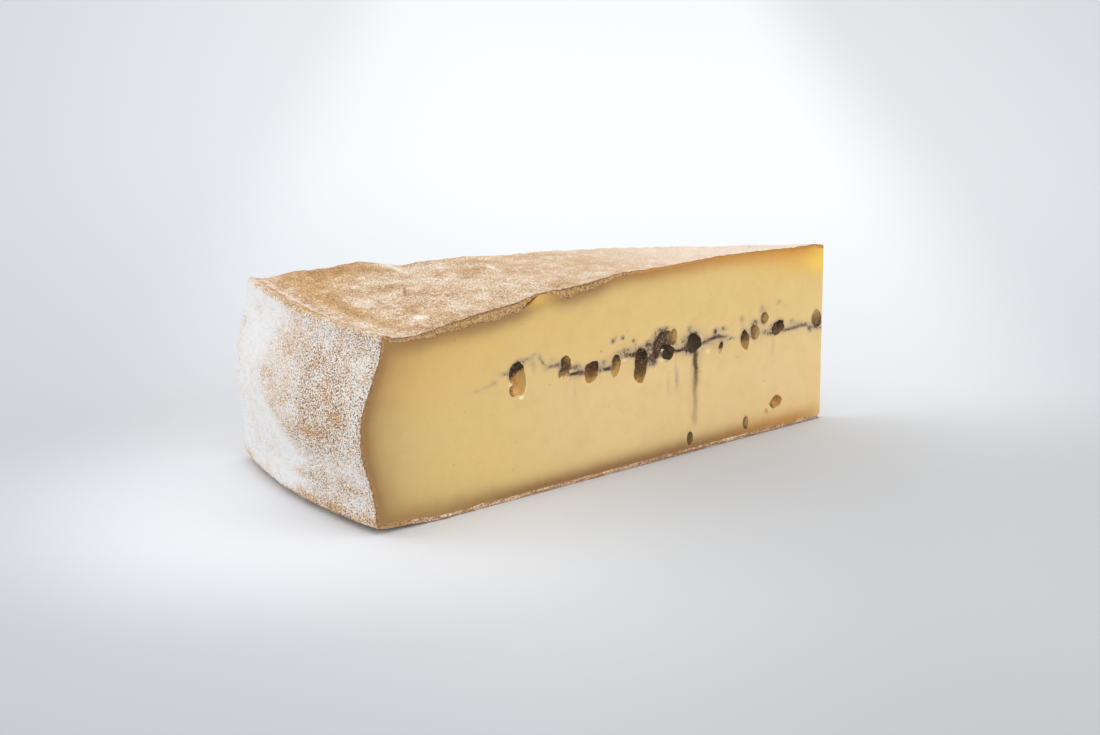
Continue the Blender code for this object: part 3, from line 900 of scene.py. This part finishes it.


# Smears and specks on the shown cut: r, z, half length and half height in mm, and strength: ash above 0,
# painted highlights below
ASH_SMEARS_AND_HIGHLIGHTS = (
    (146.5, 34.9, 2.4, 0.5, 0.16), (143.0, 35.5, 1.6, 0.5, 0.20), (140.1, 36.2, 1.6, 0.7, 0.26),
    (136.4, 38.2, 1.4, 0.8, 0.28), (138.2, 38.6, 2.0, 1.2, 0.12), (128.4, 41.0, 1.4, 0.6, 0.25),
    (126.7, 41.0, 1.2, 0.6, 0.25), (124.8, 42.0, 1.4, 0.5, 0.30), (122.4, 40.8, 0.8, 0.9, 0.42),
    (121.4, 39.0, 0.7, 0.9, 0.38), (125.6, 39.4, 1.4, 1.2, 0.25), (117.9, 37.0, 2.8, 0.5, 0.42),
    (115.3, 37.4, 1.0, 0.5, 0.45), (124.8, 37.4, 0.9, 1.7, 0.28), (116.5, 39.0, 3.0, 1.2, 0.15),
    (109.2, 33.5, 1.5, 0.4, 1.20), (110.3, 34.3, 1.1, 0.5, -0.8), (106.2, 33.4, 1.2, 0.8, 0.45),
    (108.0, 35.4, 1.6, 0.9, 0.35), (96.0, 32.7, 2.6, 0.7, 0.55), (95.2, 32.5, 0.9, 0.5, 0.6),
    (97.2, 34.6, 1.6, 1.6, 0.25), (97.8, 38.3, 0.6, 0.5, 0.35), (93.1, 40.6, 1.0, 0.8, 0.85),
    (89.1, 41.0, 0.8, 0.7, 0.80), (84.7, 39.4, 0.7, 0.6, 0.55), (91.8, 41.5, 0.6, 0.5, 0.35),
    (87.2, 42.6, 0.5, 0.4, 0.25), (87.4, 35.3, 2.2, 0.7, 0.42), (84.8, 35.1, 1.4, 0.6, 0.50),
    (88.4, 34.0, 1.3, 0.45, -0.8), (88.2, 36.8, 2.4, 0.9, 0.38), (83.6, 37.4, 1.2, 2.0, 0.22),
    (77.2, 32.3, 2.0, 1.9, 0.42), (75.7, 31.0, 1.0, 1.1, 0.60), (77.7, 36.2, 1.6, 1.4, 0.35),
    (78.3, 37.9, 1.3, 0.8, 0.50), (72.3, 41.1, 3.2, 0.5, 0.35), (72.3, 34.9, 0.9, 0.6, -1.8),
    (70.4, 35.0, 1.8, 0.5, -0.7), (72.3, 31.4, 1.2, 0.6, -0.9), (67.6, 33.3, 1.0, 0.6, 1.0),
    (64.4, 33.0, 2.4, 0.35, 1.1), (61.8, 32.9, 0.8, 0.6, 1.0), (60.6, 39.0, 0.9, 1.0, 0.50),
    (62.6, 35.6, 1.6, 2.0, 0.28), (54.4, 33.8, 1.4, 0.4, 0.75), (51.5, 34.3, 1.6, 0.35, 0.65),
    (48.6, 34.6, 2.0, 0.5, 0.80), (45.4, 34.1, 1.6, 0.4, 0.70), (42.4, 33.0, 1.8, 0.35, 0.40),
    (49.4, 36.2, 0.8, 0.9, 0.80), (45.2, 36.6, 1.1, 0.7, 0.40), (47.5, 36.8, 2.8, 1.2, 0.25),
    (52.4, 30.7, 1.0, 0.9, -0.75), (49.5, 32.4, 4.4, 2.8, 0.16), (37.3, 38.3, 1.2, 1.2, 0.38),
    (31.6, 36.4, 2.0, 1.3, 0.42), (28.3, 40.2, 1.4, 1.5, 0.33),
    (20.5, 41.1, 1.5, 0.9, 0.32), (17.3, 39.4, 1.5, 0.8, 0.18),
    (14.4, 34.2, 0.9, 0.7, 0.38), (26.7, 32.5, 0.7, 0.6, 0.35), (24.4, 31.5, 1.6, 0.5, 0.50),
    (17.0, 31.6, 1.8, 0.5, 0.50), (13.0, 31.6, 2.0, 0.45, 0.48), (8.6, 31.9, 2.0, 0.45, 0.55),
    (5.8, 30.2, 0.8, 1.2, 0.50), (12.0, 32.9, 5.0, 1.3, 0.18), (65.8, 24.6, 1.0, 3.2, 0.38),
    (69.7, 22.4, 0.7, 3.4, 0.20), (66.6, 28.6, 0.7, 3.0, 0.18), (80.0, 25.0, 0.8, 3.0, 0.12),
    (23.0, 26.0, 1.0, 4.0, 0.16), (108.5, 28.5, 0.5, 2.6, 0.15), (55.3, 2.9, 1.2, 0.6, 0.35),
    (38.5, 44.0, 1.2, 1.0, 0.10), (129.7, 30.1, 1.1, 0.7, -0.9), (72.0, 36.5, 6.5, 4.2, 0.28),
    (58.4, 35.2, 5.0, 5.0, 0.24), (90.0, 35.4, 8.0, 2.4, 0.20), (105.0, 33.4, 6.0, 2.0, 0.20),
    (78.5, 33.2, 3.6, 2.6, 0.30), (28.0, 34.0, 9.0, 3.4, 0.14),
    (110.0, 35.0, 3.4, 2.0, 0.22), (112.6, 35.4, 2.6, 0.7, 0.40),
    (72.4, 40.3, 2.4, 0.6, 0.40), (76.0, 39.4, 1.0, 0.8, 0.30), (79.0, 37.0, 1.4, 0.6, 0.40),
    (133.8, 34.6, 1.0, 0.8, -0.8), (128.0, 33.0, 0.5, 2.6, -0.5),
)
# Radius of the painted glow at the tip, where the browning is held back as if light shone through the thin
# paste
TIP_GLOW_RADIUS = 6.5 * MM
# Length in mm over which the slow part of the browning dies away
BROWN_TAIL = 8.0
# A distance to the nearest eye, in eye sizes, that none of them reaches
NO_EYE = 9.0


def browned(gap, strength, reach, tail):
    """Share of browning at a gap in mm under a skin: a bell, and a slow exponential tail."""
    return strength * bell(gap / reach) + tail * np.exp(-gap / BROWN_TAIL)


def eye_marks(hidden, r, behind, z):
    """For each point: its place in the nearest eye along the way the ash lies, that eye's ash, and the haze.

    The haze is a bell round each eye's rim, and falls below 0 on the side that the ash leaves bare, for a
    painted highlight along the rim there.
    """
    best = np.full(len(r), NO_EYE)
    lay, ash, haze = np.zeros((3, len(r)))
    for side, eyes in ((False, SHOWN_EYES), (True, HIDDEN_EYES)):
        for eye_r, eye_z, width, tall, deep, lean, black, towards in eyes:
            cosine, sine = math.cos(math.radians(lean)), math.sin(math.radians(lean))
            beyond, above = (r - eye_r * MM) / MM, (z - eye_z * MM) / MM
            across = (beyond * cosine + above * sine) / (width / 2)
            up = (above * cosine - beyond * sine) / (tall / 2)
            away = np.sqrt(across**2 + up**2 + (behind / (deep * MM)) ** 2)
            away = np.where(hidden == side, away, NO_EYE)
            turn = math.radians(towards)
            along = above * math.sin(turn) - beyond * math.cos(turn)
            along /= math.hypot(width, tall) / 2.8
            nearer = away < best
            best = np.where(nearer, away, best)
            lay, ash = np.where(nearer, along, lay), np.where(nearer, black, ash)
            haze += 0.32 * max(black, 0) * bell((away - 1.0) / 0.32) * smoothstep(along + 0.9)
            # Painted highlight: a pale rim on the side of each eye that the ash leaves bare.
            haze -= 0.28 * bell((away - 1.14) / 0.12) * smoothstep(-along - 0.45)
    return lay, ash, haze


def paste_attributes(mesh):
    """Three vectors for each vertex.

    where: r and height over the ash, in mm, and the browning. eye: the place along the way that the ash lies,
    the ash, and the depth behind the cut in mm. The third: the ash smeared over its cut and painted
    highlights where that falls below 0, then the chip, and which cut.
    """
    points = positions(mesh)
    sides = [cut_frame(-1), cut_frame(1)]
    depth = np.stack([(points - origin) @ inward for origin, _, inward in sides], -1)
    along = np.stack([(points - origin) @ away for origin, away, _ in sides], -1)
    hidden = depth[:, 1] < depth[:, 0]
    r = np.where(hidden, along[:, 1], along[:, 0])
    behind = np.where(hidden, depth[:, 1], depth[:, 0])
    z = points[:, 2]
    t = np.where(hidden, 1.0, 0.0)
    over = (z - ash_height(r, t)) / MM
    flat_r = np.minimum(r / heel_radius(t, z), 1) * HEEL_RADIUS
    under_top = rind_thickness(flat_r, z, t) * (z > 40 * MM)
    top_gap = (top_height(flat_r, t) - z - under_top).clip(0, None) / MM
    low_gap = (z - bottom_height(flat_r) - 1.6 * MM).clip(0, None) / MM
    heel_gap = (heel_radius(t, z) - r - 0.9 * MM).clip(0, None) / MM
    # Painted glow: the browning is held back near the tip, where light shines through the thin paste.
    tip = bell(r / TIP_GLOW_RADIUS)
    outer = smoothstep((r / MM - 120) / 50)
    bare = 1 - (browned(top_gap, 0.90, mix(3.2, 3.8, outer), 0.08) * (1 - 0.6 * tip)).clip(0, 1)
    bare *= 1 - 0.5 * np.exp(-top_gap / 0.7) * (1 - 0.8 * tip)
    bare *= 1 - browned(low_gap, mix(0.92, 0.66, outer), mix(3.3, 4.6, outer), 0.20) * (1 - 0.5 * tip)
    bare *= 1 - (0.30 * np.exp(-heel_gap / 2.5) + 0.95 * np.exp(-heel_gap / 10.5)).clip(0, 1)
    lay, ash, ash_and_highlight = eye_marks(hidden, r, behind, z)
    shown = ~hidden
    for s_r, s_z, half_r, half_z, strength in ASH_SMEARS_AND_HIGHLIGHTS:
        ash_and_highlight += shown * strength * bell((r / MM - s_r) / half_r) * bell((z / MM - s_z) / half_z)
    line = np.interp(r / MM, *ASH_STRENGTH.T)
    line = np.where(hidden, 0.6 * smoothstep((150 - r / MM) / 25), line)
    ash_and_highlight += line * (0.35 * bell(over / 0.5) + 0.28 * bell(over / 1.9))
    scoop = bell((r - CHIP_AT) / CHIP_LONG) * smoothstep(1 - top_gap * MM / CHIP_TALL) * shown
    add_vectors(mesh, "where", np.stack([r / MM, over, 1 - bare], -1))
    add_vectors(mesh, "eye", np.stack([lay, ash, behind / MM], -1))
    add_vectors(mesh, "ash_and_highlight", np.stack([ash_and_highlight, scoop, t], -1))


# Where a run of ash goes down the shown cut, in mm from the tip
RUN_AT = 57.8


def paste_finish():
    """Pale waxy yellow, browned towards the rind, with specks and smears of ash, and one run below an eye."""
    paint = Finish(
        "paste",
        {
            "Metallic": 0.0,
            "IOR": 1.45,
            "Specular IOR Level": 0.3,
            "Subsurface Weight": 0.2,
            "Subsurface Scale": 0.004,
            "Subsurface Radius": (1.0, 0.6, 0.25),
        },
    )
    r, over, brown = paint.attribute("where")
    ash_and_highlight, scoop, hidden = paint.attribute("ash_and_highlight")
    cloud = paint.noise(24 * MM, 2, 0.5, 4.0)
    patch = paint.noise(5 * MM, 3, 0.55, 9.0)
    fine = paint.noise(1.1 * MM, 3, 0.65, 5.0)
    grit = paint.noise(0.55 * MM, 2, 0.7, 2.0)
    outward = paint.step(r, 165, 70)
    low = paint.blend(outward, (219, 189, 124), (230, 200, 143))
    high = paint.blend(outward, (222, 185, 111), (229, 198, 130))
    # Painted glow: deeper and bright yellow at the tip's top corner, where light shines through the thin
    # paste.
    painted_tip_glow = paint.step(r, 40, 6) * paint.step(over, 14.5, 21.5)
    tip = paint.step(r, 14, 2) * paint.step(over, 15, 22)
    shade = brown + (patch - 0.5) * 0.2 * paint.step(brown, 0.1, 0.5)
    rust_low = paint.blend(paint.step(r, 60, 8), (147, 110, 65), (190, 138, 70))
    rust_high = paint.blend(paint.step(r, 115, 12), (156, 117, 70), (216, 150, 66))
    rust = paint.blend(paint.step(over, -4, 10), rust_low, rust_high)
    # Painted highlights: pale cream where the smears fall below 0.
    painted_highlight = paint.step(ash_and_highlight, -0.15, -0.7)
    haze = paint.step(ash_and_highlight + (patch - 0.5) * 0.3, -0.02, 0.46) * 0.70
    sway = (patch - 0.5) * 2.2 + (fine - 0.5) * 1.2
    aside = abs(r - RUN_AT + sway)
    length = paint.step(over, -0.5, -2.5) * paint.step(over, -26.5, -22.0) * (1 - hidden)
    run = (paint.step(aside, 1.5, 0.2) + paint.step(aside, 3.4, 0.3) * 0.35) * length
    run = run * (0.30 + paint.step(over, -20, -3) * 0.5) * (0.7 + fine * 0.6)
    wet = paint.step(aside, 0.9, 0.3) * length * paint.step(over + sway * 2, -11.0, -4.0)
    loose = 0.50 + paint.step(ash_and_highlight, 0.02, 0.3) * 0.40
    amount = ash_and_highlight + ((fine - 0.5) * 1.8 + (grit - 0.5) * 1.6) * loose
    core = paint.step(amount, 0.75, 1.05)
    spots = paint.step(paint.cells(6 * MM, 6.0), 0.06, 0.02)
    colour = paint.coats(
        paint.blend(paint.step(over, -9, 15), low, high),
        (paint.step(cloud, 0.4, 0.65) * 0.30, (224, 190, 122)),
        (paint.step(patch, 0.42, 0.66) * 0.10, (208, 172, 106)),
        (paint.step(fine, 0.55, 0.72) * 0.12, (246, 226, 178)),
        (painted_tip_glow * 0.8, (234, 184, 88)),
        (tip * 0.85, (246, 210, 96)),
        (shade * 0.95, rust),
        (scoop * 0.8, (218, 172, 86)),
        (painted_highlight * 0.85, (243, 228, 196)),
        (haze, (170, 147, 126)),
        (run, (116, 90, 62)),
        (wet * 0.8, (84, 66, 46)),
        (paint.step(amount, 0.42, 0.66) * 0.75, (104, 84, 66)),
        (core * 0.9, (58, 48, 41)),
        (spots * 0.5, (150, 106, 56)),
    )
    height = patch * 0.3 + fine * 0.35 - core * 0.5
    return paint.output(
        Base_Color=colour,
        Roughness=0.45 + fine * 0.12 + core * 0.35,
        Normal=paint.bump(height, 0.12 * MM, 0.6),
    )


def eye_finish():
    """Eye walls: amber where the wall is bare, brown, then near black with paler crumbs where ash has run."""
    paint = Finish("eye_wall", {"Metallic": 0.0, "IOR": 1.45, "Specular IOR Level": 0.3})
    lay, black, deep = paint.attribute("eye")
    patch = paint.noise(1.8 * MM, 3, 0.6, 9.0)
    fine = paint.noise(0.6 * MM, 2, 0.7, 5.0)
    ash = black + lay * 0.5 + deep * 0.10 + (patch - 0.5) * 0.9 + (fine - 0.5) * 0.6
    crumbs = paint.step(fine + (patch - 0.5) * 0.4, 0.50, 0.62) * paint.step(ash, 0.2, 0.6)
    crumbs = crumbs * paint.step(black, 1.25, 0.9)
    colour = paint.coats(
        (246, 214, 146),
        # The wall's own amber, with painted shade: paler at the mouth, and darker amber to brown further into
        # the eye.
        (paint.step(deep, 0.1, 1.8), (226, 178, 102)),
        (paint.step(deep + (patch - 0.5) * 2, 1.6, 3.6), (186, 126, 62)),
        (paint.step(ash, 0.20, 0.60), (144, 108, 68)),
        (paint.step(ash, 0.50, 1.00), (82, 64, 47)),
        (paint.step(black, 1.1, 1.3) * 0.8, (124, 103, 85)),
        (crumbs * 0.62, (182, 156, 122)),
    )
    return paint.output(
        Base_Color=colour,
        Roughness=0.4 + paint.step(ash, 0.2, 0.8) * 0.4,
        Normal=paint.bump(patch + fine * 0.6, 0.25 * MM, 0.8),
    )


paste = mesh_piece("paste", *skin_of_block(paste_block()))
paste.data.materials.append(paste_finish())
paste.data.materials.append(eye_finish())
carve(paste, 1)
paste_attributes(paste.data)
paste.data.set_sharp_from_angle(angle=math.radians(40))
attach(paste, "root")
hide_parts("cheese")

# Ash layer. Vegetable ash brushed over the first layer of curd before the second went on: a ragged dark
# film through the paste, thickest from 48 to 72 mm from the tip, thinner out to 114 mm and hair thin beyond.

ASH_STATIONS = 620
ASH_ACROSS = 9
ASH_START = 4.5 * MM
ASH_END = 158 * MM


def ash_film():
    """Rings round the film's section across the wedge, one for each station out from the tip.

    Its half thickness follows the line's strength times noise. Its edges stand just proud of the cuts, and
    fall back into the paste where the ash gives out.
    """
    r = np.linspace(ASH_START, ASH_END, ASH_STATIONS)[:, None]
    t = np.linspace(0, 1, ASH_ACROSS)[None, :]
    middle = ash_height(r, t)
    points = place(r, t, middle)
    waver = (0.35 * grain(points, 5 * MM, 41, 3) + 0.16 * grain(points, 1.3 * MM, 43)) * MM
    shown = np.interp(r / MM, *ASH_STRENGTH.T)
    strength = mix(shown, 0.6 * smoothstep((150 - r / MM) / 25), t)
    ragged = 0.5 + 0.55 * grain(points, 2.2 * MM, 42, 3)
    body = (strength * ragged.clip(0, None)) ** 1.3
    half = (0.03 + 0.27 * body) * MM
    points[..., 2] += waver
    for side, column in ((-1, 0), (1, -1)):
        proud = mix(-0.6, 0.08, smoothstep((body[:, column] - 0.02) / 0.10)) * MM
        points[:, column] -= cut_frame(side)[2] * proud[:, None]
    rise = np.array([0, 0, 1.0])
    upper = points + rise * half[..., None]
    lower = points - rise * half[..., None]
    shade = np.concatenate([body, body[:, ::-1]], axis=1)
    return np.concatenate([upper, lower[:, ::-1]], axis=1), np.stack([shade] * 3, axis=-1)


def ash_finish():
    """Soft ash: nearly black where it is thick, grey brown where thin, with paler crumbs."""
    paint = Finish("ash", {"Metallic": 0.0, "Specular IOR Level": 0.2})
    body = paint.attribute("body")[0]
    patch = paint.noise(1.5 * MM, 3, 0.6, 2.0)
    fine = paint.noise(0.5 * MM, 2, 0.7, 3.0)
    thick = paint.step(body + (patch - 0.5) * 0.5, 0.02, 0.4)
    crumbs = paint.step(fine, 0.55, 0.7) * 0.6
    colour = paint.coats((146, 124, 96), (thick, (58, 49, 44)), (crumbs, (150, 132, 112)))
    return paint.output(
        Base_Color=colour, Roughness=0.8 + patch * 0.15, Normal=paint.bump(fine, 0.2 * MM, 0.8)
    )


rings, body = ash_film()
ash_layer = mesh_piece("ash_film", *tube(rings), {"body": body.reshape(-1, 3)})
ash_layer.data.materials.append(ash_finish())
carve(ash_layer, 0)
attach(ash_layer, "root")
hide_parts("ash_layer")
for carver in list(carvers.objects):
    bpy.data.objects.remove(carver)
bpy.data.collections.remove(carvers)

# Floor and light. A pale plain floor under soft daylight from the left, with a weaker light from the front
# right, and the camera where the photograph was taken.

CAMERA = Vector((-394.43, -699.98, 230.34)) * MM
LOOK = Vector((0.47202, 0.84705, -0.24432))
FLOOR_HALF = 4.0


def floor_finish():
    """Off-white, a little darker towards the camera and to the sides, and brightest beside the heel."""
    paint = Finish("floor", {"Metallic": 0.0, "Roughness": 0.8, "Specular IOR Level": 0.1})
    x, y, _ = paint.split(paint.here)
    away = x * 0.487 + y * 0.873
    side = x * 0.873 - y * 0.487
    aside = abs(side - 0.05) / (away + 0.85)
    # Painted pool of light beside the heel.
    near_heel = ((side + 0.075) ** 2.0 + (away + 0.05) ** 2.0) ** 0.5
    # Painted shade to the front right of the cheese.
    painted_front_shade = paint.step(side, -0.02, 0.10) * paint.step(away, 0.10, -0.04)
    # Painted shade towards the far sides.
    far = paint.step(side, 0.12, 0.20) * 0.4 + paint.step(side, -0.10, -0.17) * 0.25
    # Painted light and shade: darker towards the camera and to the sides, lighter far off, and a painted pool
    # of light beside the heel.
    colour = paint.coats(
        (200, 202, 205),
        (paint.step(away, -0.3, 0.55), (233, 235, 237)),
        (paint.step(aside, 0.04, 0.30) * 0.75, (184, 187, 192)),
        (paint.step(near_heel, 0.13, 0.02) * 0.75, (236, 238, 242)),
        (painted_front_shade * 0.6, (176, 177, 179)),
        (far, (176, 178, 182)),
        (paint.step(away, -0.12, -0.26) * 0.6, (176, 178, 182)),
    )
    return paint.output(Base_Color=colour)


corners = FLOOR_HALF * np.array([[-1, -1, 0], [1, -1, 0], [1, 1, 0], [-1, 1, 0]])
floor = mesh_piece("floor", corners, [[0, 1, 2, 3]])
floor.data.materials.append(floor_finish())


def soft_light(name, place_at, aim, size, power, colour):
    """A square soft box at a place, turned to face its aim."""
    light = bpy.data.lights.new(name, "AREA")
    light.shape = "SQUARE"
    light.size = size
    light.energy = power
    light.color = colour
    made = bpy.data.objects.new(name, light)
    made.location = place_at
    made.rotation_mode = "QUATERNION"
    made.rotation_quaternion = (Vector(aim) - Vector(place_at)).to_track_quat("-Z", "Y")
    bpy.context.scene.collection.objects.link(made)


soft_light("window", (-1.6, 1.0, 1.3), (-0.03, 0, 0.03), 1.6, 12.5, (0.98, 0.99, 1.0))
soft_light("fill", (1.2, -1.4, 1.0), (0, 0, 0.03), 1.6, 9.6, (1.0, 0.99, 0.98))
world = bpy.data.worlds.new("daylight")
world.use_nodes = True
world.node_tree.nodes["Background"].inputs["Color"].default_value = (0.985, 0.99, 1.0, 1.0)
world.node_tree.nodes["Background"].inputs["Strength"].default_value = 1.06
bpy.context.scene.world = world
bpy.context.scene.view_settings.view_transform = "Standard"

camera = bpy.data.objects.new("camera", bpy.data.cameras.new("camera"))
camera.data.lens = 90
camera.data.sensor_width = 36
camera.data.clip_start = 0.05
camera.location = CAMERA
camera.rotation_mode = "QUATERNION"
camera.rotation_quaternion = LOOK.to_track_quat("-Z", "Y")
bpy.context.scene.collection.objects.link(camera)
bpy.context.scene.camera = camera
